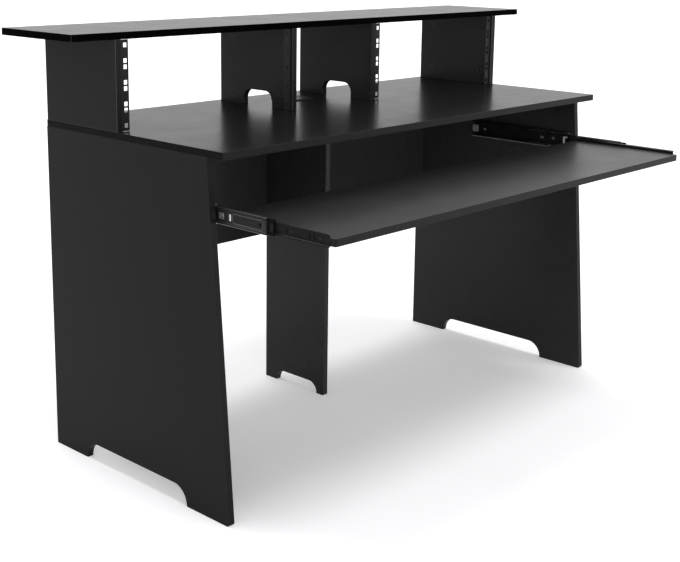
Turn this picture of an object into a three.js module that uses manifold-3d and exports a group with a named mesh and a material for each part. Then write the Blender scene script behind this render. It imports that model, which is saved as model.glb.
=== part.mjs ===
// A studio desk of black laminated board. A raised shelf on four uprights makes two 19 inch
// equipment bays with steel rack rails, a keyboard tray runs on three-section ball slides,
// and a centre leg and a modesty panel carry the middle of the desktop.
// Millimetres, +Z up. Inside the desk group x runs to the right from the desk's middle, the
// side panels' rear edge is at y 0, depth grows forwards along -y, and z is the height.

import * as THREE from "three";
import { mergeVertices } from "three/addons/utils/BufferGeometryUtils.js";
import Module from "manifold-3d";

const wasm = await Module();
wasm.setup();

// Boards and desktop
const board = 15;
const desktopDepth = 575;
const underDesktop = 736;
const desktopCorner = 2;

// Side panels, whose front edge leans back towards the top
const panelTopDepth = 527;
const panelFootDepth = 586;
const panelRearFoot = 116;
const panelFrontFoot = 128;
const panelArch = 40;
const panelToe = 6;

// Modesty panel and centre leg
const modestySetback = 7;
const modestyHeight = 346;
const legDepth = 210;
const legRearFoot = 40;
const legFrontFoot = 24;
const legArch = 28;
const legToe = 3;

// Uprights and top shelf
const uprightHeight = 189;
const upperSetback = 3;
const upperDepth = 249;
const centreBayWidth = 263;
const shelfOverhang = 105.5;
const cableArchWidth = 98;
const cableArchHeight = 36;
const cableArchCorner = 24;
const cableArchRear = 83;

// Rack rails, bent from steel sheet, with two square holes to each rack unit
const railFace = 20;
const railFlange = 25;
const railSheet = 2;
const railBend = 1;
const railSetback = 4;
const railEndGap = 1;
const rackUnit = 44.45;
const rackUnits = 4;
const rackHolePitch = 465.1;
const rackHoleInset = 12.45;
const rackHole = 9.5;
const rackHoleCorner = 1;
const rackHoleEdge = 6.35;

// Keyboard tray, pulled out to its stop
const trayDepth = 292;
const trayDrop = 108;
const trayLip = 12;
const trayCorner = 4;
const trayTravel = 305;

// Slides: three steel members nested between a side panel and the tray, with two ball cages
const slideLength = 314;
const slideSetback = 7;
const slideHeight = 45;
const slideThickness = 12.7;
const slideLift = 3;
const slideSheet = 1.2;
const slideBend = 1.2;
const slideLip = 2.3;
const middleReach = 11.2;
const middleLip = 1.5;
const middleBand = 3.8;
const middleStep = 1.4;
const cageSheet = 0.8;
const cageBend = 1.6;
const cageReach = 9.9;
const outerBall = 1.85;
const innerBall = 1.45;
const ballsInRow = 5;
const ballInset = 9;
const outerCageLength = 136;
const outerCageAhead = 8;
const innerCageLength = 146;
const innerCageAhead = 14;
const bumperLength = 15;
const bumperHeight = 20;
const bumperDepth = 7;
const bumperCorner = 2;

// Openings in the slides' webs, each placed from the rear end of its member
const outerScrewPlaces = [36, 226, 262];
const outerScrewHole = 2.2;
const middleAccessPlaces = [61, 97];
const middleAccessHole = 5;
const middleWindowPlace = 174;
const middleWindow = 14;
const middleSlotPlace = 197;
const middleSlotWidth = 7;
const middleStopPlace = 280;
const middleStopHole = 3;
const innerSlotPlaces = [190, 248, 260];
const innerSlotWidth = 4;
const innerSlotHeight = 10;
const innerScrewPlaces = [20, 203, 275];
const innerScrewHole = 2.2;
const webHoleCorner = 1.2;

// Cam locks, set in blind bores beside each board that they pull tight
const camRadius = 7.3;
const camDepth = 12;
const camSink = 0.3;
const camReach = 34;
const camSlotWidth = 1.6;
const camSlotLength = 8;
const camSlotDepth = 2;
const uprightCamRear = 42;
const uprightCamFront = 36;
const panelCamRear = 60;
const panelCamFront = 51;
const legCamInset = 45;
const modestyCamInset = 60;

// Cable grommet in the desktop, between the bays
const grommetFlange = 82;
const grommetCorner = 12;
const grommetRise = 2.8;
const grommetFront = 147;
const grommetBody = 69.4;
const grommetBodyCorner = 8;
const grommetBodyDepth = 13;
const grommetMouth = 62;
const grommetMouthCorner = 6;
const grommetLedge = 2;
const capThickness = 2.2;
const cableSlotWidth = 26;
const cableSlotDepth = 14;
const cableSlotCorner = 3;

// Clearances, the overrun of cutting tools, and the fineness of round stretches
const fitGap = 0.3;
const runGap = 0.3;
const overrun = 5;
const arcSteps = 5;
const cornerSteps = 2;
const holeSides = 12;
const camSides = 16;
const mergeTolerance = 1e-3;

// Places that follow from the sizes above
const bayWidth = rackHolePitch + 2 * rackHoleInset;
const deskWidth = centreBayWidth + 2 * bayWidth + 4 * board;
const halfDesk = deskWidth / 2;
const insideFace = halfDesk - board;
const desktopTop = underDesktop + board;
const shelfUnderside = desktopTop + uprightHeight;
const modestyFront = modestySetback + board;
const slideFront = panelTopDepth - slideSetback;
const slideRear = slideFront - slideLength;
const trayTop = underDesktop - trayDrop;
const trayFront = slideFront + trayTravel + trayLip;
const trayRear = trayFront - trayDepth;
const slideCentre = trayTop - board / 2 + slideLift;
const memberLength = slideLength - bumperLength - 2 * runGap;
const middleRear = slideFront - memberLength + trayTravel / 2;
const innerRear = slideFront - memberLength + trayTravel;

// Where each slide member's sheet lies, outwards from the side panel's face
const outerWebAt = slideSheet / 2;
const outerCageWebAt = slideSheet + runGap + cageSheet / 2;
const middleBandAt = outerCageWebAt + cageSheet / 2 + runGap + slideSheet / 2;
const middleWebAt = middleBandAt + middleStep;
const innerCageWebAt = middleWebAt + slideSheet / 2 + runGap + cageSheet / 2;
const innerTipAt = innerCageWebAt + cageSheet / 2 + 2 * runGap;
const farWebAt = slideThickness - slideSheet / 2;

// Heights of the slide's flanges and ball rows above the slide's centre line
const outerFlangeAt = slideHeight / 2 - slideSheet / 2;
const outerBallAt = outerFlangeAt - slideSheet / 2 - runGap - outerBall;
const middleFlangeAt = outerBallAt - outerBall - runGap - slideSheet / 2;
const innerBallAt = middleFlangeAt - slideSheet / 2 - runGap - innerBall;
const innerFlangeAt = innerBallAt - innerBall - runGap - slideSheet / 2;

// Finishes
function finish(color, roughness, metalness) {
  return new THREE.MeshStandardMaterial({ color, roughness, metalness });
}

function laminate() {
  return finish(0x2b2b2c, 0.42, 0);
}

function blackSteel() {
  return finish(0x1c1c1d, 0.38, 0.6);
}

function zincSteel() {
  return finish(0x9fa1a3, 0.35, 0.9);
}

function camZinc() {
  return finish(0x4a4a4b, 0.4, 0.8);
}

function greyRubber() {
  return finish(0x6f7071, 0.75, 0);
}

function blackPlastic() {
  return finish(0x222223, 0.35, 0);
}

// Solids: a closed geometry becomes a solid that can be joined and cut, and back
function solidOf(geometry) {
  const bare = geometry.index ? geometry.toNonIndexed() : geometry.clone();
  bare.deleteAttribute("normal");
  bare.deleteAttribute("uv");
  const merged = mergeVertices(bare, mergeTolerance);
  const mesh = new wasm.Mesh({
    numProp: 3,
    vertProperties: merged.getAttribute("position").array,
    triVerts: new Uint32Array(merged.index.array),
  });
  return new wasm.Manifold(mesh);
}

function geometryOf(solid) {
  const mesh = solid.getMesh();
  const geometry = new THREE.BufferGeometry();
  geometry.setAttribute("position", new THREE.BufferAttribute(mesh.vertProperties, 3));
  geometry.setIndex(new THREE.BufferAttribute(mesh.triVerts, 1));
  const faceted = geometry.toNonIndexed();
  faceted.computeVertexNormals();
  return faceted;
}

function cut(geometry, tools) {
  let solid = solidOf(geometry);
  for (const tool of tools) {
    solid = solid.subtract(solidOf(tool));
  }
  return geometryOf(solid);
}

function join(geometries) {
  return geometryOf(geometries.map(solidOf).reduce((whole, next) => whole.add(next)));
}

function place(name, geometry, material, x, depth, height) {
  const mesh = new THREE.Mesh(geometry, material);
  mesh.name = name;
  mesh.position.set(x, -depth, height);
  return mesh;
}

// Extrusions along the three directions of the desk
function extrude(shape, length, steps = cornerSteps) {
  return new THREE.ExtrudeGeometry(shape, { depth: length, bevelEnabled: false, curveSegments: steps });
}

// The shape's x is the depth and its y the height: the plate stands upright, centred on x 0.
function extrudeAcross(shape, width, steps) {
  const geometry = extrude(shape, width, steps).translate(0, 0, -width / 2);
  const across = new THREE.Matrix4().makeBasis(
    new THREE.Vector3(0, -1, 0),
    new THREE.Vector3(0, 0, 1),
    new THREE.Vector3(-1, 0, 0),
  );
  return geometry.applyMatrix4(across);
}

// The shape's x is the desk's x and its y the height: the bar runs forwards from depth 0.
function extrudeForwards(shape, length, steps) {
  return extrude(shape, length, steps).rotateX(Math.PI / 2);
}

// A rectangle with round corners, centred on the origin.
function roundedRectangle(width, height, radius) {
  const x = width / 2;
  const y = height / 2;
  const shape = new THREE.Shape();
  shape.moveTo(-x + radius, -y);
  shape.lineTo(x - radius, -y);
  shape.absarc(x - radius, -y + radius, radius, -Math.PI / 2, 0);
  shape.lineTo(x, y - radius);
  shape.absarc(x - radius, y - radius, radius, 0, Math.PI / 2);
  shape.lineTo(-x + radius, y);
  shape.absarc(-x + radius, y - radius, radius, Math.PI / 2, Math.PI);
  shape.lineTo(-x, -y + radius);
  shape.absarc(-x + radius, -y + radius, radius, Math.PI, 1.5 * Math.PI);
  return shape;
}

// The closed outline of a sheet of one thickness that follows an open line of points.
function sheetShape(line, thickness) {
  const points = line.map(([x, y]) => new THREE.Vector2(x, y));
  const offsets = points.map((point, i) => {
    const before = points[Math.max(i - 1, 0)];
    const after = points[Math.min(i + 1, points.length - 1)];
    const into = (i > 0 ? point.clone().sub(before) : after.clone().sub(point)).normalize();
    const out = (i < points.length - 1 ? after.clone().sub(point) : into.clone()).normalize();
    const normal = new THREE.Vector2(-into.y - out.y, into.x + out.x).normalize();
    const stretch = normal.x * -into.y + normal.y * into.x;
    return normal.multiplyScalar(thickness / 2 / stretch);
  });
  const near = points.map((point, i) => point.clone().add(offsets[i]));
  const far = points.map((point, i) => point.clone().sub(offsets[i]));
  return new THREE.Shape([...near, ...far.reverse()]);
}

// A section line drawn from the upper lip down to the web, repeated below the centre line.
function mirrorBelow(upper) {
  const lower = upper.map(([x, y]) => [x, -y]).reverse();
  return [...upper, ...lower];
}

// A cylinder along x, centred on the origin.
function barAcross(radius, length, sides) {
  return new THREE.CylinderGeometry(radius, radius, length, sides).rotateZ(Math.PI / 2);
}

// A cylinder along y, centred on the origin.
function barForwards(radius, length, sides) {
  return new THREE.CylinderGeometry(radius, radius, length, sides);
}

// Boards
// An upright board's side view: a floor arch with quarter-round ends and a rounded toe.
function legShape(depth, topDepth, height, rearFoot, frontFoot, arch, toe) {
  const shape = new THREE.Shape();
  shape.moveTo(0, 0);
  shape.lineTo(rearFoot, 0);
  shape.absarc(rearFoot + arch, 0, arch, Math.PI, Math.PI / 2, true);
  shape.absarc(depth - frontFoot - arch, 0, arch, Math.PI / 2, 0, true);
  shape.lineTo(depth - toe, 0);
  shape.absarc(depth - toe, toe, toe, -Math.PI / 2, 0);
  shape.lineTo(topDepth, height);
  shape.lineTo(0, height);
  return shape;
}

// The blind bore of a cam lock, with its mouth on a face of a board whose middle is at 0.
function camBoreAcross(side, depth, height) {
  const length = camDepth + camSink + fitGap + overrun;
  const bore = barAcross(camRadius + fitGap, length, camSides);
  return bore.translate(side * (board / 2 + overrun - length / 2), -depth, height);
}

function sidePanel(name, side) {
  const shape = legShape(
    panelFootDepth,
    panelTopDepth,
    underDesktop,
    panelRearFoot,
    panelFrontFoot,
    panelArch,
    panelToe,
  );
  const bores = panelCamDepths().map((depth) => camBoreAcross(-side, depth, panelCamHeight()));
  const geometry = cut(extrudeAcross(shape, board, arcSteps), bores);
  return place(name, geometry, laminate(), side * (halfDesk - board / 2), 0, 0);
}

function panelCamDepths() {
  return [panelCamRear, panelTopDepth - panelCamFront];
}

function panelCamHeight() {
  return underDesktop - camReach;
}

function centreLeg() {
  const shape = legShape(legDepth, legDepth, underDesktop, legRearFoot, legFrontFoot, legArch, legToe);
  const bores = legCamDepths().map((depth) => camBoreAcross(1, depth, panelCamHeight()));
  const geometry = cut(extrudeAcross(shape, board, arcSteps), bores);
  return place("centre_leg", geometry, laminate(), 0, modestyFront, 0);
}

function legCamDepths() {
  return [legCamInset, legDepth - legCamInset];
}

function desktop() {
  const plan = roundedRectangle(deskWidth, desktopDepth, desktopCorner);
  const geometry = extrude(plan, board);
  const hole = roundedRectangle(grommetBody + 2 * fitGap, grommetBody + 2 * fitGap, grommetBodyCorner);
  const tool = extrude(hole, board + 2 * overrun);
  tool.translate(0, desktopDepth / 2 - grommetDepth(), -overrun);
  return place("desktop", cut(geometry, [tool]), laminate(), 0, desktopDepth / 2, underDesktop);
}

function topShelf() {
  const length = deskWidth + 2 * shelfOverhang;
  const geometry = extrude(roundedRectangle(length, upperDepth, desktopCorner), board);
  return place("top_shelf", geometry, laminate(), 0, upperSetback + upperDepth / 2, shelfUnderside);
}

function modestyPanel() {
  const geometry = new THREE.BoxGeometry(2 * insideFace, board, modestyHeight);
  const length = camDepth + camSink + fitGap + overrun;
  const bores = modestyCamPlaces().map(({ x, height }) => {
    const bore = barForwards(camRadius + fitGap, length, camSides);
    return bore.translate(x, board / 2 + overrun - length / 2, height);
  });
  const middle = underDesktop - modestyHeight / 2;
  return place("modesty_panel", cut(geometry, bores), laminate(), 0, modestySetback + board / 2, middle);
}

// Places on the modesty panel's rear face, from the panel's middle.
function modestyCamPlaces() {
  const x = insideFace - camReach;
  const height = modestyHeight / 2 - modestyCamInset;
  return [
    { name: "left_upper", x: -x, height },
    { name: "left_lower", x: -x, height: -height },
    { name: "right_upper", x, height },
    { name: "right_lower", x, height: -height },
  ];
}

// Uprights: name, place of the board's middle, and the side on which its bay lies.
function uprightPlaces() {
  const outer = halfDesk - board / 2;
  const inner = outer - board - bayWidth;
  return [
    { name: "outer_left", x: -outer, baySide: 1, arched: false },
    { name: "inner_left", x: -inner, baySide: -1, arched: true },
    { name: "inner_right", x: inner, baySide: 1, arched: true },
    { name: "outer_right", x: outer, baySide: -1, arched: false },
  ];
}

function uprightCamPlaces() {
  const rear = uprightCamRear;
  const front = upperDepth - uprightCamFront;
  const low = camReach;
  const high = uprightHeight - camReach;
  return [
    { name: "bottom_rear", depth: rear, height: low },
    { name: "bottom_front", depth: front, height: low },
    { name: "top_rear", depth: rear, height: high },
    { name: "top_front", depth: front, height: high },
  ];
}

// The cable arch at the foot of an inner upright, as a cutting tool.
function cableArchTool() {
  const height = cableArchHeight + overrun;
  const shape = new THREE.Shape();
  shape.moveTo(0, 0);
  shape.lineTo(cableArchWidth, 0);
  shape.lineTo(cableArchWidth, height - cableArchCorner);
  shape.absarc(cableArchWidth - cableArchCorner, height - cableArchCorner, cableArchCorner, 0, Math.PI / 2);
  shape.lineTo(cableArchCorner, height);
  shape.absarc(cableArchCorner, height - cableArchCorner, cableArchCorner, Math.PI / 2, Math.PI);
  const tool = extrudeAcross(shape, board + 2 * overrun, arcSteps);
  return tool.translate(0, -cableArchRear, -overrun);
}

function upright({ name, x, baySide, arched }) {
  const geometry = new THREE.BoxGeometry(board, upperDepth, uprightHeight);
  geometry.translate(0, -upperDepth / 2, uprightHeight / 2);
  const tools = uprightCamPlaces().map((cam) => camBoreAcross(baySide, cam.depth, cam.height));
  if (arched) {
    tools.push(cableArchTool());
  }
  return place("upright_" + name, cut(geometry, tools), laminate(), x, upperSetback, desktopTop);
}

function keyboardTray() {
  const width = 2 * (insideFace - slideThickness - fitGap);
  const geometry = extrude(roundedRectangle(width, trayDepth, trayCorner), board);
  return place("keyboard_tray", geometry, laminate(), 0, trayRear + trayDepth / 2, trayTop - board);
}

// Rack rails
function rackHoleHeights() {
  const bottom = (uprightHeight - rackUnits * rackUnit) / 2;
  const heights = [];
  for (let unit = 0; unit < rackUnits; unit++) {
    heights.push(bottom + unit * rackUnit + rackHoleEdge);
    heights.push(bottom + (unit + 1) * rackUnit - rackHoleEdge);
  }
  return heights;
}

// An angle against the upright's face, with its front leg turned into the bay.
function rackRail({ name, x, baySide }) {
  const front = upperDepth - railSetback;
  const corner = railSheet / 2;
  const line = [
    [corner, -(front - railFlange)],
    [corner, -(front - corner - railBend)],
    [corner + railBend, -(front - corner)],
    [railFace, -(front - corner)],
  ];
  const section = sheetShape(
    line.map(([across, along]) => [baySide * across, along]),
    railSheet,
  );
  const length = uprightHeight - 2 * railEndGap;
  const geometry = extrude(section, length).translate(0, 0, railEndGap);
  const across = baySide * rackHoleInset;
  const tools = rackHoleHeights().map((height) => {
    const hole = roundedRectangle(rackHole, rackHole, rackHoleCorner);
    const tool = extrudeForwards(hole, railSheet + 2 * overrun, 1);
    return tool.translate(across, -(front - railSheet - overrun), height);
  });
  const face = x + baySide * board / 2;
  return place("rack_rail_" + name, cut(geometry, tools), blackSteel(), face, upperSetback, desktopTop);
}

// Slides
// The outline of a slide member or cage, from its section line on the given side of the desk.
function slideSection(line, sheet, side) {
  return sheetShape(
    line.map(([across, height]) => [side * -across, height]),
    sheet,
  );
}

function placeOnSlide(name, geometry, material, side, rear) {
  return place(name, geometry, material, side * insideFace, rear, slideCentre);
}

function webCutter(width, height, corner, side, along, across = slideThickness / 2) {
  const tool = extrudeAcross(roundedRectangle(width, height, corner), slideThickness + 2 * overrun);
  return tool.translate(side * -across, -along, 0);
}

function webDrill(radius, side, along) {
  const tool = barAcross(radius, slideThickness + 2 * overrun, holeSides);
  return tool.translate(side * -slideThickness / 2, -along, 0);
}

function slideOuter(name, side) {
  const upper = [
    [farWebAt, outerFlangeAt - slideLip],
    [farWebAt, outerFlangeAt - slideBend],
    [farWebAt - slideBend, outerFlangeAt],
    [outerWebAt + slideBend, outerFlangeAt],
    [outerWebAt, outerFlangeAt - slideBend],
  ];
  const section = slideSection(mirrorBelow(upper), slideSheet, side);
  const drills = outerScrewPlaces.map((along) => webDrill(outerScrewHole, side, along));
  const geometry = cut(extrudeForwards(section, slideLength), drills);
  return placeOnSlide(name, geometry, blackSteel(), side, slideRear);
}

function slideMiddle(name, side) {
  const bandFoot = middleFlangeAt - middleBand;
  const upper = [
    [middleReach, middleFlangeAt - middleLip],
    [middleReach, middleFlangeAt - slideBend],
    [middleReach - slideBend, middleFlangeAt],
    [middleBandAt + slideBend, middleFlangeAt],
    [middleBandAt, middleFlangeAt - slideBend],
    [middleBandAt, bandFoot],
    [middleWebAt, bandFoot - middleStep],
  ];
  const section = slideSection(mirrorBelow(upper), slideSheet, side);
  const tools = middleAccessPlaces.map((along) => webDrill(middleAccessHole, side, along));
  tools.push(webCutter(middleWindow, middleWindow, webHoleCorner, side, middleWindowPlace));
  tools.push(webCutter(middleSlotWidth, middleWindow, webHoleCorner, side, middleSlotPlace));
  tools.push(webDrill(middleStopHole, side, middleStopPlace));
  const geometry = cut(extrudeForwards(section, memberLength), tools);
  return placeOnSlide(name, geometry, blackSteel(), side, middleRear);
}

function slideInner(name, side) {
  const upper = [
    [innerTipAt, innerFlangeAt],
    [farWebAt - slideBend, innerFlangeAt],
    [farWebAt, innerFlangeAt - slideBend],
  ];
  const section = slideSection(mirrorBelow(upper), slideSheet, side);
  const tools = innerSlotPlaces.map((along) =>
    webCutter(innerSlotWidth, innerSlotHeight, webHoleCorner, side, along),
  );
  tools.push(...innerScrewPlaces.map((along) => webDrill(innerScrewHole, side, along)));
  const geometry = cut(extrudeForwards(section, memberLength), tools);
  return placeOnSlide(name, geometry, blackSteel(), side, innerRear);
}

// A cage is a channel of thin sheet that holds a row of balls in each of its flanges.
function ballCage(name, side, webAt, flangeAt, ball, rear, length) {
  const upper = [
    [cageReach, flangeAt],
    [webAt + cageBend, flangeAt],
    [webAt, flangeAt - cageBend],
  ];
  const section = slideSection(mirrorBelow(upper), cageSheet, side);
  const pieces = [extrudeForwards(section, length)];
  const pitch = (length - 2 * ballInset) / (ballsInRow - 1);
  for (let i = 0; i < ballsInRow; i++) {
    for (const row of [1, -1]) {
      const sphere = new THREE.IcosahedronGeometry(ball, 0);
      const across = (webAt + cageBend + cageReach) / 2;
      pieces.push(sphere.translate(side * -across, -(ballInset + i * pitch), row * flangeAt));
    }
  }
  return placeOnSlide(name, join(pieces), zincSteel(), side, rear);
}

function outerCage(name, side) {
  const rear = slideFront + outerCageAhead - outerCageLength;
  return ballCage(name, side, outerCageWebAt, outerBallAt, outerBall, rear, outerCageLength);
}

function innerCage(name, side) {
  const rear = middleRear + memberLength + innerCageAhead - innerCageLength;
  return ballCage(name, side, innerCageWebAt, innerBallAt, innerBall, rear, innerCageLength);
}

// A rubber block at the rear end of the outer member, which stops the tray softly.
function slideBumper(name, side) {
  const shape = roundedRectangle(bumperDepth, bumperHeight, bumperCorner);
  const geometry = extrudeForwards(shape, bumperLength);
  geometry.translate(side * -(slideSheet + fitGap + bumperDepth / 2), 0, 0);
  return placeOnSlide(name, geometry, greyRubber(), side, slideRear);
}

// Cam locks
// A cam disc whose slotted face looks along +x.
function camDisc() {
  const body = barAcross(camRadius, camDepth, camSides);
  const slots = [
    new THREE.BoxGeometry(2 * camSlotDepth, camSlotLength, camSlotWidth),
    new THREE.BoxGeometry(2 * camSlotDepth, camSlotWidth, camSlotLength),
  ];
  return cut(
    body,
    slots.map((slot) => slot.translate(camDepth / 2, 0, 0)),
  );
}

// A cam lock in a board that stands across x, with its face on the board's given side.
function camAcross(name, boardAt, side, depth, height) {
  const geometry = camDisc();
  if (side < 0) {
    geometry.rotateZ(Math.PI);
  }
  const inset = board / 2 - camSink - camDepth / 2;
  return place(name, geometry, camZinc(), boardAt + side * inset, depth, height);
}

function uprightCams() {
  return uprightPlaces().flatMap(({ name, x, baySide }) =>
    uprightCamPlaces().map((cam) =>
      camAcross(
        "cam_" + name + "_" + cam.name,
        x,
        baySide,
        upperSetback + cam.depth,
        desktopTop + cam.height,
      ),
    ),
  );
}

function panelCams() {
  const ends = ["rear", "front"];
  return [
    ["left", -1],
    ["right", 1],
  ].flatMap(([name, side]) =>
    panelCamDepths().map((depth, i) =>
      camAcross(
        "cam_panel_" + name + "_" + ends[i],
        side * (halfDesk - board / 2),
        -side,
        depth,
        panelCamHeight(),
      ),
    ),
  );
}

function legCams() {
  const ends = ["rear", "front"];
  return legCamDepths().map((depth, i) =>
    camAcross("cam_leg_" + ends[i], 0, 1, modestyFront + depth, panelCamHeight()),
  );
}

function modestyCams() {
  const middle = underDesktop - modestyHeight / 2;
  return modestyCamPlaces().map(({ name, x, height }) => {
    const geometry = camDisc().rotateZ(Math.PI / 2);
    const depth = modestySetback + camSink + camDepth / 2;
    return place("cam_modesty_" + name, geometry, camZinc(), x, depth, middle + height);
  });
}

// Grommet: a flanged sleeve in the desktop and a lift-out cap with a cable slot at its rear
function grommetDepth() {
  return grommetFront - grommetFlange / 2;
}

function squareRing(outer, outerCorner, inner, innerCorner, height) {
  const shape = roundedRectangle(outer, outer, outerCorner);
  shape.holes.push(roundedRectangle(inner, inner, innerCorner));
  return extrude(shape, height);
}

function grommetRing() {
  const ledgeMouth = grommetMouth - 2 * grommetLedge;
  const flange = squareRing(grommetFlange, grommetCorner, grommetMouth, grommetMouthCorner, grommetRise);
  const sleeve = squareRing(
    grommetBody,
    grommetBodyCorner,
    ledgeMouth,
    grommetMouthCorner,
    grommetBodyDepth,
  );
  const geometry = join([flange, sleeve.translate(0, 0, -grommetBodyDepth)]);
  return place("grommet_ring", geometry, blackPlastic(), 0, grommetDepth(), desktopTop);
}

function grommetCap() {
  const size = grommetMouth - 2 * fitGap;
  const geometry = extrude(roundedRectangle(size, size, grommetMouthCorner), capThickness);
  const notch = roundedRectangle(cableSlotWidth, 2 * cableSlotDepth, cableSlotCorner);
  const tool = extrude(notch, capThickness + 2 * overrun).translate(0, size / 2, -overrun);
  const height = desktopTop + fitGap;
  return place("grommet_cap", cut(geometry, [tool]), blackPlastic(), 0, grommetDepth(), height);
}

const desk = new THREE.Group();
desk.add(desktop(), topShelf(), centreLeg(), modestyPanel(), keyboardTray());
for (const spot of uprightPlaces()) {
  desk.add(upright(spot), rackRail(spot));
}
for (const [name, side] of [
  ["left", -1],
  ["right", 1],
]) {
  desk.add(
    sidePanel("side_panel_" + name, side),
    slideOuter("slide_outer_" + name, side),
    slideMiddle("slide_middle_" + name, side),
    slideInner("slide_inner_" + name, side),
    outerCage("outer_ball_cage_" + name, side),
    innerCage("inner_ball_cage_" + name, side),
    slideBumper("slide_bumper_" + name, side),
  );
}
desk.add(...uprightCams(), ...panelCams(), ...legCams(), ...modestyCams());
desk.add(grommetRing(), grommetCap());
desk.position.y = trayFront / 2;

const studioDesk = new THREE.Group();
studioDesk.add(desk);

export default studioDesk;
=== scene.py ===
# The studio desk's looks: laminated boards with edge bands, steel slides and rack rails with their
# screws and clips, in a plain pale studio. Metres, in the part's own frame, where forward is -y.
import math

import bmesh
import bpy
from mathutils import Matrix, Vector


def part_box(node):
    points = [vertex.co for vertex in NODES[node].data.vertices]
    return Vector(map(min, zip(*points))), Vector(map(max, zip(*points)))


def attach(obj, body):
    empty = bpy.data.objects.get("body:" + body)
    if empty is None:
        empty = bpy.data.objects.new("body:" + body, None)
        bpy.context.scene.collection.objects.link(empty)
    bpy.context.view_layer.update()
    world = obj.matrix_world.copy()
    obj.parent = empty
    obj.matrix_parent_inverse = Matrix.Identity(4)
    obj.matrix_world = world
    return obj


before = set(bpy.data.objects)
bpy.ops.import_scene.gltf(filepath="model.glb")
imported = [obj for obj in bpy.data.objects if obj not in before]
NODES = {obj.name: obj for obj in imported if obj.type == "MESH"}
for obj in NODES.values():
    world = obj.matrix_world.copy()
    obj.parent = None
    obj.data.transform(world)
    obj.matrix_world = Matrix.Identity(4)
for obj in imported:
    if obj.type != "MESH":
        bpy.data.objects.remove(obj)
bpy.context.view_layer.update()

MM = 0.001
X, Y, Z = 0, 1, 2
FORWARD = -1
BOTH_WAYS = (1, -1)
SIDES = {"left": -1, "right": 1}


# Materials: most of a noise lies between its low and its high, and every grey is a little cold
NOISE_LOW, NOISE_HIGH = 0.3, 0.7
COLD_CAST = 1.02


class Shader:
    """A new material with its Principled shader, and short calls for its nodes."""

    def __init__(self, name):
        self.material = bpy.data.materials.new(name)
        self.material.use_nodes = True
        self.tree = self.material.node_tree
        self.nodes = self.tree.nodes
        self.surface = self.nodes["Principled BSDF"]
        self.place = self.add("ShaderNodeTexCoord").outputs["Object"]

    def add(self, kind, **settings):
        node = self.nodes.new(kind)
        for key, value in settings.items():
            setattr(node, key, value)
        return node

    def join(self, source, target):
        self.tree.links.new(source, target)

    def set(self, **values):
        for key, value in values.items():
            self.surface.inputs[key.replace("_", " ")].default_value = value

    def stretched(self, scale):
        node = self.add("ShaderNodeMapping")
        node.inputs["Scale"].default_value = scale
        self.join(self.place, node.inputs["Vector"])
        return node.outputs["Vector"]

    def noise(self, scale, detail=3.0, roughness=0.5, stretch=None):
        node = self.add("ShaderNodeTexNoise")
        node.inputs["Scale"].default_value = scale
        node.inputs["Detail"].default_value = detail
        node.inputs["Roughness"].default_value = roughness
        self.join(self.stretched(stretch) if stretch else self.place, node.inputs["Vector"])
        return node.outputs["Fac"]

    def cells(self, scale):
        node = self.add("ShaderNodeTexVoronoi")
        node.inputs["Scale"].default_value = scale
        self.join(self.place, node.inputs["Vector"])
        return node.outputs["Distance"]

    def maths(self, operation, a, b):
        node = self.add("ShaderNodeMath", operation=operation)
        for socket, value in zip(node.inputs, (a, b)):
            if isinstance(value, (int, float)):
                socket.default_value = value
            else:
                self.join(value, socket)
        return node.outputs["Value"]

    def mixed(self, a, b, share):
        """A share of a, and the rest of b."""
        return self.maths("ADD", self.maths("MULTIPLY", a, share), self.maths("MULTIPLY", b, 1 - share))

    def greys(self, value, level, *stops):
        """Colours the surface by a value; each stop is a place on it and a share of the grey level."""
        node = self.add("ShaderNodeValToRGB")
        ramp = node.color_ramp
        while len(ramp.elements) < len(stops):
            ramp.elements.new(0.5)
        for element, (place, share) in zip(ramp.elements, stops):
            tone = level * share
            element.position = place
            element.color = (tone, tone, tone * COLD_CAST, 1)
        self.join(value, node.inputs["Fac"])
        self.join(node.outputs["Color"], self.surface.inputs["Base Color"])

    def roughness(self, value, low, high):
        """Makes the surface low to high rough, by a value."""
        node = self.add("ShaderNodeMapRange")
        node.inputs["From Min"].default_value = NOISE_LOW
        node.inputs["From Max"].default_value = NOISE_HIGH
        node.inputs["To Min"].default_value = low
        node.inputs["To Max"].default_value = high
        self.join(value, node.inputs["Value"])
        self.join(node.outputs["Result"], self.surface.inputs["Roughness"])

    def bump(self, height, strength, distance):
        node = self.add("ShaderNodeBump")
        node.inputs["Strength"].default_value = strength
        node.inputs["Distance"].default_value = distance
        self.join(height, node.inputs["Height"])
        self.join(node.outputs["Normal"], self.surface.inputs["Normal"])


def laminate(name, level, rough, sheen):
    """Black melamine paper under a pressed satin film: cloudy print, fine pores and an orange peel."""
    shader = Shader(name)
    cloud = shader.noise(scale=9, detail=4, roughness=0.55)
    fleck = shader.noise(scale=420, detail=2, roughness=0.6)
    shader.greys(shader.mixed(cloud, fleck, 0.6), level, (0.25, 0.95), (0.5, 1), (0.78, 1.06))
    shader.roughness(shader.noise(scale=14), *rough)
    peel = shader.noise(scale=900, detail=2)
    pores = shader.noise(scale=2600, detail=1)
    shader.bump(shader.mixed(peel, pores, 0.6), strength=0.05, distance=0.0001)
    shader.set(IOR=1.27, Specular_IOR_Level=sheen)
    return shader.material


def edge_band(name, level, rough, ior=1.3, sheen=0.25):
    """Black plastic edge band: smoother than the faces, with long faint drag marks from its scraper."""
    shader = Shader(name)
    drag = shader.noise(scale=160, roughness=0.6, stretch=(0.06, 0.06, 1.0))
    shader.greys(drag, level, (0.3, 0.85), (0.7, 1.15))
    shader.roughness(shader.noise(scale=40, detail=2), *rough)
    shader.bump(drag, strength=0.12, distance=0.0001)
    shader.set(IOR=ior, Specular_IOR_Level=sheen)
    return shader.material


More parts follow.
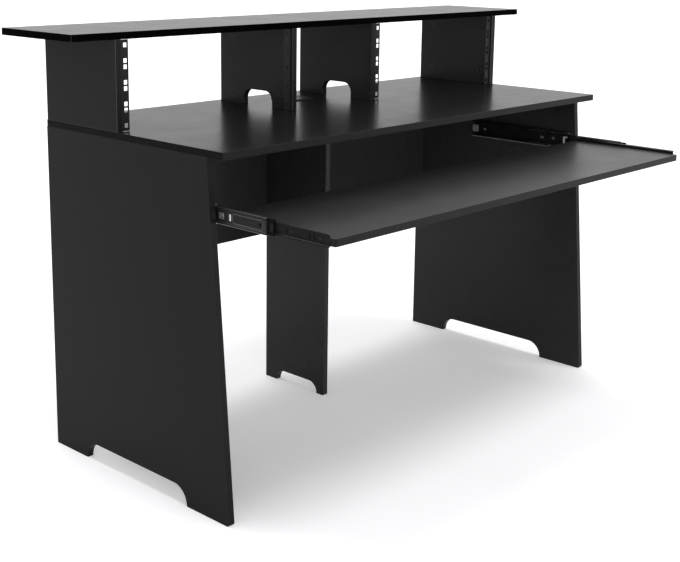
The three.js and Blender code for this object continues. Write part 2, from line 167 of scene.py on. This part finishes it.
def powder_coat(name, level, rough):
    """Black powder coat on sheet steel, with a fine orange peel."""
    shader = Shader(name)
    peel = shader.noise(scale=1500, detail=2)
    shader.greys(shader.noise(scale=60), level, (0.3, 0.8), (0.7, 1.2))
    shader.roughness(peel, *rough)
    shader.bump(peel, strength=0.2, distance=0.0001)
    shader.set(IOR=1.35, Specular_IOR_Level=0.3)
    return shader.material


def black_plated(name, level, rough, ior=1.3, sheen=0.25):
    """Black electrophoretic coat over rolled steel: lines drawn along the slide, and a film of grease."""
    shader = Shader(name)
    rolled = shader.noise(scale=900, roughness=0.55, stretch=(1.0, 0.02, 1.0))
    smear = shader.noise(scale=55, detail=4, roughness=0.6, stretch=(1.0, 0.35, 1.0))
    shader.greys(smear, level, (0.28, 0.75), (0.72, 1.3))
    shader.roughness(shader.mixed(rolled, smear, 0.5), *rough)
    shader.bump(rolled, strength=0.1, distance=0.00008)
    shader.set(IOR=ior, Specular_IOR_Level=sheen)
    return shader.material


def zinc(name, level, rough):
    """Bright zinc plating: cold crystalline patches over rolled sheet."""
    shader = Shader(name)
    shader.greys(shader.cells(420), level, (0.0, 0.86), (0.6, 1.08))
    shader.roughness(shader.noise(scale=220), *rough)
    rolled = shader.noise(scale=900, detail=2, stretch=(1.0, 0.05, 1.0))
    shader.bump(rolled, strength=0.1, distance=0.00006)
    shader.set(Metallic=1.0)
    return shader.material


def plastic(name, level, rough, sheen=0.25):
    """Moulded plastic with a spark-eroded grain and faint flow marks."""
    shader = Shader(name)
    grain = shader.noise(scale=2200, detail=2, roughness=0.6)
    flow = shader.noise(scale=70, stretch=(0.4, 1.0, 1.0))
    shader.greys(flow, level, (0.3, 0.88), (0.7, 1.12))
    shader.roughness(grain, *rough)
    shader.bump(grain, strength=0.2, distance=0.00006)
    shader.set(IOR=1.35, Specular_IOR_Level=sheen)
    return shader.material


def rubber(name, level, rough):
    """Grey rubber, dusty in places."""
    shader = Shader(name)
    dust = shader.noise(scale=260, detail=4, roughness=0.65)
    shader.greys(dust, level, (0.3, 0.8), (0.75, 1.25))
    shader.roughness(dust, *rough)
    shader.bump(dust, strength=0.3, distance=0.0001)
    return shader.material


# One black laminate in five copies, each with its own grey and sheen for how the light falls on its
# boards: painted shade on the desktop and shelf, painted light on the side panels, uprights, inner faces
# and tray.
TOP_LAMINATE_PAINTED_SHADE = laminate("laminate", level=0.006, rough=(0.23, 0.26), sheen=0.26)
PANEL_LAMINATE_PAINTED_LIGHT = laminate("panel_laminate_painted_light", level=0.014, rough=(0.22, 0.26), sheen=0.12)
UPRIGHT_LAMINATE_PAINTED_LIGHT = laminate("upright_laminate_painted_light", level=0.0195, rough=(0.22, 0.28), sheen=0.2)
INNER_LAMINATE_PAINTED_LIGHT = laminate("inner_laminate_painted_light", level=0.026, rough=(0.24, 0.3), sheen=0.32)
TRAY_LAMINATE_PAINTED_LIGHT = laminate("tray_laminate_painted_light", level=0.011, rough=(0.36, 0.4), sheen=1.4)
EDGE = edge_band("edge_band", level=0.008, rough=(0.28, 0.36))
# Copies of the edge band in other greys for how the light falls: painted shade on the boards' ends and the
# shelf's edges, and painted light on the centre leg's front edge.
END_EDGE_PAINTED_SHADE = edge_band("matt_end_edge_band_painted_shade", level=0.0055, rough=(0.36, 0.46), ior=1.2, sheen=0.12)
SHELF_EDGE_PAINTED_SHADE = edge_band("shelf_edge_band_painted_shade", level=0.0012, rough=(0.4, 0.5), ior=1.1, sheen=0.06)
LEG_EDGE_PAINTED_LIGHT = edge_band("leg_edge_band_painted_light", level=0.032, rough=(0.36, 0.46))
# A lighter copy of the edge band on the boards' rounded arrises: a painted highlight.
ARRIS_HIGHLIGHT = edge_band("arris_painted_highlight", level=0.05, rough=(0.28, 0.4))
RAIL = powder_coat("rail_coat", level=0.009, rough=(0.34, 0.46))
SLIDE = black_plated("slide_coat", level=0.007, rough=(0.24, 0.36))
# Lighter, glossier copies of the slide coat on the bends and the pressed ridge: painted highlights.
SLIDE_BEND_HIGHLIGHT = black_plated("slide_bend_painted_highlight", level=0.02, rough=(0.2, 0.3), ior=1.5, sheen=0.8)
OUTER_BEND_HIGHLIGHT = black_plated("outer_slide_bend_painted_highlight", level=0.14, rough=(0.2, 0.3), ior=1.5, sheen=0.8)
# A lighter, matter copy of the slide coat for the inner members: painted light that lifts the shade beside
# the cage's nose.
INNER_WEB_PAINTED_LIGHT = black_plated("inner_slide_coat_painted_light", level=0.011, rough=(0.4, 0.5), sheen=0.1)
CAGE = zinc("cage_zinc", level=0.62, rough=(0.22, 0.38))
BALL = zinc("ball_steel", level=0.7, rough=(0.06, 0.12))
SCREW = zinc("screw_steel", level=0.32, rough=(0.25, 0.4))
BLACK_SCREW = black_plated("black_screw", level=0.02, rough=(0.25, 0.4))
CAM = powder_coat("cam_metal", level=0.013, rough=(0.3, 0.45))
GROMMET = plastic("grommet_plastic", level=0.016, rough=(0.3, 0.45))
# Near-black plastic for the cage's nose, its tongue and the slot plugs; its black is partly painted shade,
# on the nose's prongs, over the stop hole and in the slots.
CLIP_AND_SHADE = plastic("cage_nose_plastic_and_painted_shade", level=0.0025, rough=(0.45, 0.6), sheen=0.06)
NOSE_FLOOR = plastic("nose_floor_plastic", level=0.01, rough=(0.5, 0.6), sheen=0.1)
PALE_CLIP = plastic("cage_tail_plastic", level=0.4, rough=(0.4, 0.55))
STOP_CLIP = plastic("front_stop_plastic", level=0.02, rough=(0.35, 0.5))
BUMPER = rubber("bumper_rubber", level=0.16, rough=(0.7, 0.9))


# CAD nodes: materials by face, and softened edges. A face looks along an axis if its normal there is
# over ALONG_AXIS, and an edge is softened if it is over SHARP. Widths are in metres.
ALONG_AXIS = 0.9
FACE_SLOT, EDGE_SLOT = 0, 1
SHARP = math.radians(35)
WELD_REACH = 0.00002
BOARD_ROUNDING = 0.0009
SLIDE_ROUNDING = 0.0002
FITTINGS = {
    "rack_rail": (RAIL, 0.00025),
    "slide_bumper": (BUMPER, 0.0006),
    "cam_": (CAM, 0.0003),
    "grommet_": (GROMMET, 0.0005),
}


def dress(node, face, edge=None, thin_axis=None):
    """Gives a CAD node its materials. Faces that don't look along its thin axis are its edges."""
    mesh = NODES[node].data
    mesh.materials.clear()
    mesh.materials.append(face)
    if edge is None:
        return
    mesh.materials.append(edge)
    for polygon in mesh.polygons:
        along = abs(polygon.normal[thin_axis]) > ALONG_AXIS
        polygon.material_index = FACE_SLOT if along else EDGE_SLOT


def reface(node, face, axis, *ways):
    """Gives the faces that look one way or both ways along an axis their own material."""
    mesh = NODES[node].data
    for way in ways:
        mesh.materials.append(face)
        for polygon in mesh.polygons:
            if polygon.normal[axis] * way > ALONG_AXIS:
                polygon.material_index = len(mesh.materials) - 1


def reface_upper_edges(node, face):
    """Gives the edges in a node's upper half their own material."""
    obj = NODES[node]
    low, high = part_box(node)
    middle = (low[Z] + high[Z]) / 2
    obj.data.materials.append(face)
    for polygon in obj.data.polygons:
        if polygon.material_index == EDGE_SLOT and (obj.matrix_world @ polygon.center).z > middle:
            polygon.material_index = len(obj.data.materials) - 1


def rounded(obj, width, segments=2):
    """Rounds a piece's sharp edges a little, as a real edge is."""
    bevel = obj.modifiers.new("bevel", "BEVEL")
    bevel.width = width
    bevel.segments = segments
    bevel.limit_method = "ANGLE"
    return bevel


def soften(node, width, segments=2, arris=None):
    """Rounds a CAD node's sharp edges; arris is the material that the rounding shows."""
    obj = NODES[node]
    weld = obj.modifiers.new("weld", "WELD")
    weld.merge_threshold = WELD_REACH
    bevel = rounded(obj, width, segments)
    bevel.angle_limit = SHARP
    if arris is not None:
        obj.data.materials.append(arris)
        bevel.material = len(obj.data.materials) - 1
    obj.data.shade_flat()


def dress_boards():
    """Laminate on the faces, in copies painted lighter or darker for how the light falls on them; edge
    bands on the edges, with copies painted darker on the ends and the shelf and lighter on the leg's
    front; and a painted highlight on the rounded arris where the two meet.
    """
    across = [n for n in NODES if n.startswith(("side_panel", "upright", "centre_leg"))]
    for name in across:
        dress(name, PANEL_LAMINATE_PAINTED_LIGHT, EDGE, X)
    for name in ("desktop", "top_shelf"):
        dress(name, TOP_LAMINATE_PAINTED_SHADE, EDGE, Z)
    dress("keyboard_tray", TRAY_LAMINATE_PAINTED_LIGHT, EDGE, Z)
    dress("modesty_panel", PANEL_LAMINATE_PAINTED_LIGHT, EDGE, Y)
    for name, side in SIDES.items():
        reface("side_panel_" + name, INNER_LAMINATE_PAINTED_LIGHT, X, -side)
        reface("upright_outer_" + name, UPRIGHT_LAMINATE_PAINTED_LIGHT, X, -side)
        reface("upright_inner_" + name, UPRIGHT_LAMINATE_PAINTED_LIGHT, X, *BOTH_WAYS)
    reface("centre_leg", INNER_LAMINATE_PAINTED_LIGHT, X, *BOTH_WAYS)
    reface("centre_leg", LEG_EDGE_PAINTED_LIGHT, Y, FORWARD)
    reface("modesty_panel", INNER_LAMINATE_PAINTED_LIGHT, Y, FORWARD)
    reface("top_shelf", SHELF_EDGE_PAINTED_SHADE, Y, FORWARD)
    reface("top_shelf", SHELF_EDGE_PAINTED_SHADE, X, *BOTH_WAYS)
    reface("desktop", END_EDGE_PAINTED_SHADE, X, *BOTH_WAYS)
    for name in [*across, "desktop", "top_shelf", "keyboard_tray", "modesty_panel"]:
        soften(name, BOARD_ROUNDING, 3, ARRIS_HIGHLIGHT)


def dress_slide(name):
    """A slide member: a dark web, and bends in lighter, glossier coats as painted highlights, but for the
    outer one's upper bend, which keeps the dark web coat as painted shade.
    """
    outer = name.startswith("slide_outer")
    web = INNER_WEB_PAINTED_LIGHT if name.startswith("slide_inner") else SLIDE
    dress(name, web, OUTER_BEND_HIGHLIGHT if outer else SLIDE_BEND_HIGHLIGHT, X)
    if outer:
        reface_upper_edges(name, SLIDE)
    soften(name, SLIDE_ROUNDING)


def dress_metal_and_fittings():
    """The slides with their cages, the rack rails, and the small fittings."""
    for name in NODES:
        if name.startswith(("slide_outer", "slide_middle", "slide_inner")):
            dress_slide(name)
        if "ball_cage" in name:
            dress(name, CAGE)
        for start, (finish, width) in FITTINGS.items():
            if name.startswith(start):
                dress(name, finish)
                soften(name, width)


dress_boards()
dress_metal_and_fittings()


# Pieces made here. On a slide a place is its distance across, from the side panel's face, its depth,
# forward of the side panel's rear edge, and its height above the slide's centre line, all in mm.
PANEL_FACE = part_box("side_panel_right")[0][0]
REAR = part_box("side_panel_right")[1][1]
SLIDE_CENTRE = (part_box("slide_outer_right")[0][2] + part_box("slide_outer_right")[1][2]) / 2


def on_slide(side, across, depth, height):
    """The place in metres of a point of a slide."""
    return Vector((side * (PANEL_FACE - across * MM), REAR - depth * MM, SLIDE_CENTRE + height * MM))


def piece(name, body, shape, material, smooth=False):
    """Makes a bmesh a piece that rides on a body."""
    mesh = bpy.data.meshes.new(name)
    bmesh.ops.recalc_face_normals(shape, faces=shape.faces)
    shape.to_mesh(mesh)
    shape.free()
    mesh.materials.append(material)
    if smooth:
        mesh.shade_smooth()
    obj = bpy.data.objects.new(name, mesh)
    bpy.context.scene.collection.objects.link(obj)
    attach(obj, body)
    return obj


def loft(shape, loops):
    """Joins loops of points into a skin that is closed but for its last loop, which it returns."""
    rings = [[shape.verts.new(point) for point in loop] for loop in loops]
    for one, other in zip(rings, rings[1:]):
        for i in range(len(one)):
            j = (i + 1) % len(one)
            shape.faces.new((one[i], one[j], other[j], other[i]))
    shape.faces.new(rings[0])
    return rings[-1]


def slab(shape, side, outline, low, high):
    """A plate on one slide: an outline of depths and heights, between two distances across."""
    loops = [[on_slide(side, across, *place) for place in outline] for across in (low, high)]
    shape.faces.new(loft(shape, loops))


def rectangle(rear, front, low, high):
    return [(rear, low), (front, low), (front, high), (rear, high)]


# Screw heads. Rings run from the rim to the top, as shares of the radius and of the height. The cross
# recess is drawn in units, which are a share of the radius; sizes are in mm.
PAN_RINGS = ((1.0, 0.0), (1.0, 0.35), (0.9, 0.75), (0.68, 1.0))
FLAT_RINGS = ((1.0, 0.0), (1.0, 0.7), (0.92, 1.0))
RECESS = (
    (1, 4), (-1, 4), (-1, 1), (-4, 1), (-4, -1), (-1, -1),
    (-1, -4), (1, -4), (1, -1), (4, -1), (4, 1), (1, 1),
)
RECESS_UNIT_SHARE = 0.13
RECESS_FLOOR_SHARE = 0.25
RECESS_TURN = 0.3
PANEL_SCREW = {"radius": 3.9, "height": 2.0, "rings": PAN_RINGS}
FLUSH_SCREW = {"radius": 2.1, "height": 0.8, "rings": FLAT_RINGS}
TRAY_SCREW = {"radius": 3.4, "height": 1.5, "rings": PAN_RINGS}
RAIL_SCREW = {"radius": 3.8, "height": 1.6, "rings": PAN_RINGS}
STOP_RIVET = {"radius": 1.8, "height": 0.7, "rings": FLAT_RINGS, "sides": 16}


def screw_head(shape, centre, facing, radius, height, rings, sides=24):
    """A cross-recessed head on the plane through centre; facing is its way along x."""
    def ring(size, rise):
        angles = [2 * math.pi * i / sides for i in range(sides)]
        return [(rise, size * math.cos(a), size * math.sin(a)) for a in angles]

    def cross(rise):
        unit = RECESS_UNIT_SHARE * radius
        cos, sin = math.cos(RECESS_TURN), math.sin(RECESS_TURN)
        return [(rise, unit * (y * cos - z * sin), unit * (y * sin + z * cos)) for y, z in RECESS]

    head = bmesh.new()
    rim = loft(head, [ring(radius * size, height * rise) for size, rise in rings])
    mouth = loft(head, [cross(height * RECESS_FLOOR_SHARE), cross(height)])
    edges = [head.edges.get((loop[i], loop[i - 1])) for loop in (rim, mouth) for i in range(len(loop))]
    bmesh.ops.triangle_fill(head, use_beauty=True, use_dissolve=False, edges=edges)
    head.transform(Matrix.Translation(centre) @ Matrix.Diagonal((facing * MM, MM, MM, 1)))
    scrap = bpy.data.meshes.new("head")
    head.to_mesh(scrap)
    head.free()
    shape.from_mesh(scrap)
    bpy.data.meshes.remove(scrap)


# Where the screws sit: how far across, and at which depths
PANEL_SCREW_SEAT, PANEL_SCREW_DEPTH = 1.1, 242
FLUSH_SCREW_SEAT, FLUSH_SCREW_DEPTHS = 0.4, (432, 468)
TRAY_SCREW_SEAT, TRAY_SCREW_DEPTHS = 11.6, (546.6, 729.6, 801.6)


def slide_screws():
    """The outer members' screws go into the side panels, and the inner members' into the tray."""
    for name, side in SIDES.items():
        bright = bmesh.new()
        screw_head(bright, on_slide(side, PANEL_SCREW_SEAT, PANEL_SCREW_DEPTH, 0), -side, **PANEL_SCREW)
        for depth in FLUSH_SCREW_DEPTHS:
            screw_head(bright, on_slide(side, FLUSH_SCREW_SEAT, depth, 0), -side, **FLUSH_SCREW)
        piece("outer_slide_screws_" + name, "desk", bright, SCREW)
        dark = bmesh.new()
        for depth in TRAY_SCREW_DEPTHS:
            screw_head(dark, on_slide(side, TRAY_SCREW_SEAT, depth, 0), side, **TRAY_SCREW)
        piece("inner_slide_screws_" + name, "tray", dark, BLACK_SCREW)


# The way each rack rail's screws face along x, the thickness that they sit on and how far they lie
# from the flange's rear edge in mm, and how high they lie as shares of the rail's height
RAIL_FACINGS = {"outer_left": 1, "inner_left": -1, "inner_right": 1, "outer_right": -1}
RAIL_SCREW_SEAT = 1.9
RAIL_SCREW_INSET = 10
RAIL_SCREW_HEIGHT_SHARES = (0.13, 0.5, 0.87)


def rail_screws():
    """Three screws hold each rack rail to its upright."""
    for name, facing in RAIL_FACINGS.items():
        low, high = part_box("rack_rail_" + name)
        seat = (low[X] if facing > 0 else high[X]) + facing * RAIL_SCREW_SEAT * MM
        heads = bmesh.new()
        for share in RAIL_SCREW_HEIGHT_SHARES:
            place = (seat, high[Y] - RAIL_SCREW_INSET * MM, low[Z] + share * (high[Z] - low[Z]))
            screw_head(heads, place, facing, **RAIL_SCREW)
        piece("rail_screws_" + name, "desk", heads, BLACK_SCREW)


# The balls of each cage: their place across and above or below the centre line, their radius, and
# the depth of the cage's rear end with its length
CAGE_BALLS = {
    "outer": {"across": 6.7, "height": 19.15, "radius": 1.88, "rear": 392, "length": 136},
    "inner": {"across": 8.7, "height": 14.05, "radius": 1.48, "rear": 540.5, "length": 146},
}
BALLS_IN_ROW = 5
BALL_INSET = 9


def balls(cage, name, across, height, radius, rear, length):
    """Smooth steel balls in the two rows of one cage."""
    shape = bmesh.new()
    pitch = (length - 2 * BALL_INSET) / (BALLS_IN_ROW - 1)
    for i in range(BALLS_IN_ROW):
        for row in BOTH_WAYS:
            place = on_slide(SIDES[name], across, rear + BALL_INSET + i * pitch, row * height)
            centre = Matrix.Translation(place)
            bmesh.ops.create_icosphere(shape, subdivisions=2, radius=radius * MM, matrix=centre)
    piece(f"{cage}_balls_{name}", f"{cage}_cage_{name}", shape, BALL, smooth=True)


# The low ridge pressed into the middle member's web: its outer and inner outline, each from rear to
# front, with half its height and its cut corners, and the distances across that it fills
RIDGE_OUTSIDE = {"rear": 579, "front": 662.4, "rise": 9.6, "corner": 3}
RIDGE_INSIDE = {"rear": 580.1, "front": 661.3, "rise": 8.5, "corner": 2.5}
RIDGE_FOOT, RIDGE_TOP = 3.75, 4.05


def cut_rectangle(rear, front, rise, corner):
    """A rectangle about the centre line, with its corners cut off."""
    lower = [(rear, -rise + corner), (rear + corner, -rise)]
    lower += [(front - corner, -rise), (front, -rise + corner)]
    return lower + [(depth, -height) for depth, height in reversed(lower)]


def pressed_ridge(name, side):
    """A ring of metal between the two outlines, from foot to top."""
    shape = bmesh.new()
    outside, inside = cut_rectangle(**RIDGE_OUTSIDE), cut_rectangle(**RIDGE_INSIDE)
    loops = ((outside, RIDGE_TOP), (outside, RIDGE_FOOT), (inside, RIDGE_FOOT), (inside, RIDGE_TOP))
    rings = [[shape.verts.new(on_slide(side, across, *place)) for place in loop] for loop, across in loops]
    for one, other in zip(rings, rings[1:] + rings[:1]):
        for i in range(len(one)):
            shape.faces.new((one[i], one[i - 1], other[i - 1], other[i]))
    piece("pressed_ridge_" + name, "middle_" + name, shape, SLIDE_BEND_HIGHLIGHT)


# The moulded clips of a slide. A plate is an outline of depths and heights, and the two distances
# across between which it lies.
# The nose is the inner cage's front end: a notched web, a rail above and below it, and a sunken floor. Its
# web reaches back over the stop hole as painted shade that keeps the hole dark.
NOSE_WEB = (
    (645, -15.4), (690, -15.4), (690, -8.5), (679, -7),
    (679, 7), (690, 8.5), (690, 15.4), (645, 15.4),
)
NOSE_PLATES = [
    (NOSE_WEB, 5.3, 6.7),
    (rectangle(669, 690.2, 12.5, 15.5), 5.4, 10.2),
    (rectangle(669, 690.2, -12.5, -15.5), 5.4, 10.2),
]
NOSE_FLOOR_PLATES = [(rectangle(676, 687.6, -9.5, 9.5), 5.4, 6.6)]
# The inner cage's rear end: a tongue, and a pale bracket across it that meets the stop.
BRACKET = ((504, -10), (516, -10), (516, -7), (509, -6), (509, 6), (516, 7), (516, 10), (504, 10))
TONGUE_PLATES = [(rectangle(503, 546, -8.5, 8.5), 6.35, 7.5)]
BRACKET_PLATES = [(BRACKET, 5.5, 9.2)]
# Near-black plugs in the inner member's three slots, flush with its web: painted shade in place of open
# slots.
PLUG_DEPTHS = (716.6, 774.6, 786.6)
PLUG_HALF = 1.9
PLUG_PLATES = [(rectangle(d - PLUG_HALF, d + PLUG_HALF, -4.9, 4.9), 11.7, 12.5) for d in PLUG_DEPTHS]
# The clip at the middle member's front end, and the rivet that holds it.
STOP_PLATE = (((664, -9), (671.5, -11), (671.5, 11), (664, 9)), 2.9, 4.1)
STOP_RIVET_PLACE = (3.0, 667.6, 5)
STOP_ROUNDING = 0.0002
# The other clips: the body each rides on, its plates, its plastic, and its rounding in metres.
CLIPS = {
    "cage_nose_": ("inner_cage_{}", NOSE_PLATES, CLIP_AND_SHADE, 0.0003),
    "cage_nose_floor_": ("inner_cage_{}", NOSE_FLOOR_PLATES, NOSE_FLOOR, 0.0002),
    "cage_tongue_": ("inner_cage_{}", TONGUE_PLATES, CLIP_AND_SHADE, 0.0003),
    "cage_bracket_": ("inner_cage_{}", BRACKET_PLATES, PALE_CLIP, 0.0004),
    "painted_shade_slot_plugs_": ("tray", PLUG_PLATES, CLIP_AND_SHADE, 0.0002),
}


def clips(name, side):
    """The clips on one slide, but for its front stop."""
    for clip, (body, plates, material, rounding) in CLIPS.items():
        shape = bmesh.new()
        for plate in plates:
            slab(shape, side, *plate)
        rounded(piece(clip + name, body.format(name), shape, material), rounding)


def front_stop(name, side):
    """A clip riveted to the middle member's front end."""
    shape = bmesh.new()
    slab(shape, side, *STOP_PLATE)
    screw_head(shape, on_slide(side, *STOP_RIVET_PLACE), side, **STOP_RIVET)
    stop = piece("front_stop_" + name, "middle_" + name, shape, STOP_CLIP)
    rounded(stop, STOP_ROUNDING)


for name in SIDES:
    for cage, figures in CAGE_BALLS.items():
        balls(cage, name, **figures)
slide_screws()
rail_screws()
for name, side in SIDES.items():
    pressed_ridge(name, side)
    clips(name, side)
    front_stop(name, side)


# The studio: the floor's reach in metres, the glow that lets it read white to the camera and in
# mirror images, and how bright the world is as a light and as a backdrop
FLOOR_REACH = 30
SEEN_GLOW = 0.27
MIRRORED_GLOW = 0.12
WORLD_LIGHT = 0.5
WORLD_BACKDROP = 1.0
# Soft lights: where each shines, how strong it is, and how many degrees wide
LIGHTS = {
    "overhead": ((-0.06, 0.36, -1), 1.18, 22),
    "back": ((0.0, -0.26, -1), 1.12, 26),
    "fill": ((0.7, 0.6, -0.2), 1.0, 60),
    "front": ((0.15, 0.95, -0.12), 0.6, 60),
}
LIGHT_DISTANCE = 4
# The camera: its lens in mm, its shifts, its place in metres, and its turns in degrees
LENS = 63.7076
SHIFT_X, SHIFT_Y = 0.0311, -0.139
CAMERA_PLACE = (-2.12552, -1.80482, 1.14029)
YAW, PITCH, ROLL = -46.4355, -11.5628, 0.6289
FARTHEST_SEEN = 100


def studio_floor():
    """A wide pale floor, which reads white where no shadow falls."""
    mesh = bpy.data.meshes.new("studio_floor")
    grid = bmesh.new()
    bmesh.ops.create_grid(grid, x_segments=2, y_segments=2, size=FLOOR_REACH)
    grid.to_mesh(mesh)
    grid.free()
    floor = bpy.data.objects.new("studio_floor", mesh)
    bpy.context.scene.collection.objects.link(floor)
    shader = Shader("studio_floor")
    mottle = shader.noise(scale=3)
    shader.greys(mottle, 1, (0.3, 0.87), (0.7, 0.9))
    shader.roughness(mottle, 0.75, 0.9)
    path = shader.add("ShaderNodeLightPath").outputs
    mirrored = shader.maths("MAXIMUM", path["Is Glossy Ray"], path["Is Transmission Ray"])
    seen = shader.maths("MULTIPLY", path["Is Camera Ray"], SEEN_GLOW)
    glow = shader.maths("ADD", seen, shader.maths("MULTIPLY", mirrored, MIRRORED_GLOW))
    shader.join(glow, shader.surface.inputs["Emission Strength"])
    shader.set(Emission_Color=(1, 1, 1, 1), Specular_IOR_Level=0.0)
    mesh.materials.append(shader.material)


def studio_world():
    """Soft even light from all round; a white backdrop to the camera, in gloss and through glass."""
    world = bpy.data.worlds.new("studio")
    bpy.context.scene.world = world
    world.use_nodes = True
    tree = world.node_tree
    background = tree.nodes["Background"]
    background.inputs["Color"].default_value = (1, 1, 1, 1)
    path = tree.nodes.new("ShaderNodeLightPath")
    seen = path.outputs["Is Camera Ray"]
    for ray in ("Is Glossy Ray", "Is Transmission Ray"):
        either = tree.nodes.new("ShaderNodeMath")
        either.operation = "MAXIMUM"
        tree.links.new(seen, either.inputs[0])
        tree.links.new(path.outputs[ray], either.inputs[1])
        seen = either.outputs[0]
    level = tree.nodes.new("ShaderNodeMapRange")
    level.inputs["To Min"].default_value = WORLD_LIGHT
    level.inputs["To Max"].default_value = WORLD_BACKDROP
    tree.links.new(seen, level.inputs["Value"])
    tree.links.new(level.outputs["Result"], background.inputs["Strength"])


def soft_light(name, towards, strength, degrees):
    """A broad soft light, as even as a large studio panel far off."""
    light = bpy.data.lights.new(name, "SUN")
    light.energy = strength
    light.angle = math.radians(degrees)
    obj = bpy.data.objects.new(name, light)
    bpy.context.scene.collection.objects.link(obj)
    aim = Vector(towards).normalized()
    obj.location = -LIGHT_DISTANCE * aim
    obj.rotation_euler = aim.to_track_quat("-Z", "Y").to_euler()


def camera():
    """The camera, where the photograph was taken from."""
    data = bpy.data.cameras.new("camera")
    data.lens = LENS
    data.shift_x, data.shift_y = SHIFT_X, SHIFT_Y
    data.clip_end = FARTHEST_SEEN
    obj = bpy.data.objects.new("camera", data)
    bpy.context.scene.collection.objects.link(obj)
    bpy.context.scene.camera = obj
    yaw, pitch, roll = (math.radians(turn) for turn in (YAW, PITCH, ROLL))
    aim = Matrix.Rotation(yaw, 4, "Z") @ Matrix.Rotation(math.pi / 2 + pitch, 4, "X")
    obj.matrix_world = Matrix.Translation(CAMERA_PLACE) @ aim @ Matrix.Rotation(roll, 4, "Z")


studio_floor()
studio_world()
for name, (towards, strength, degrees) in LIGHTS.items():
    soft_light(name, towards, strength, degrees)
camera()
bpy.context.scene.view_settings.view_transform = "Standard"
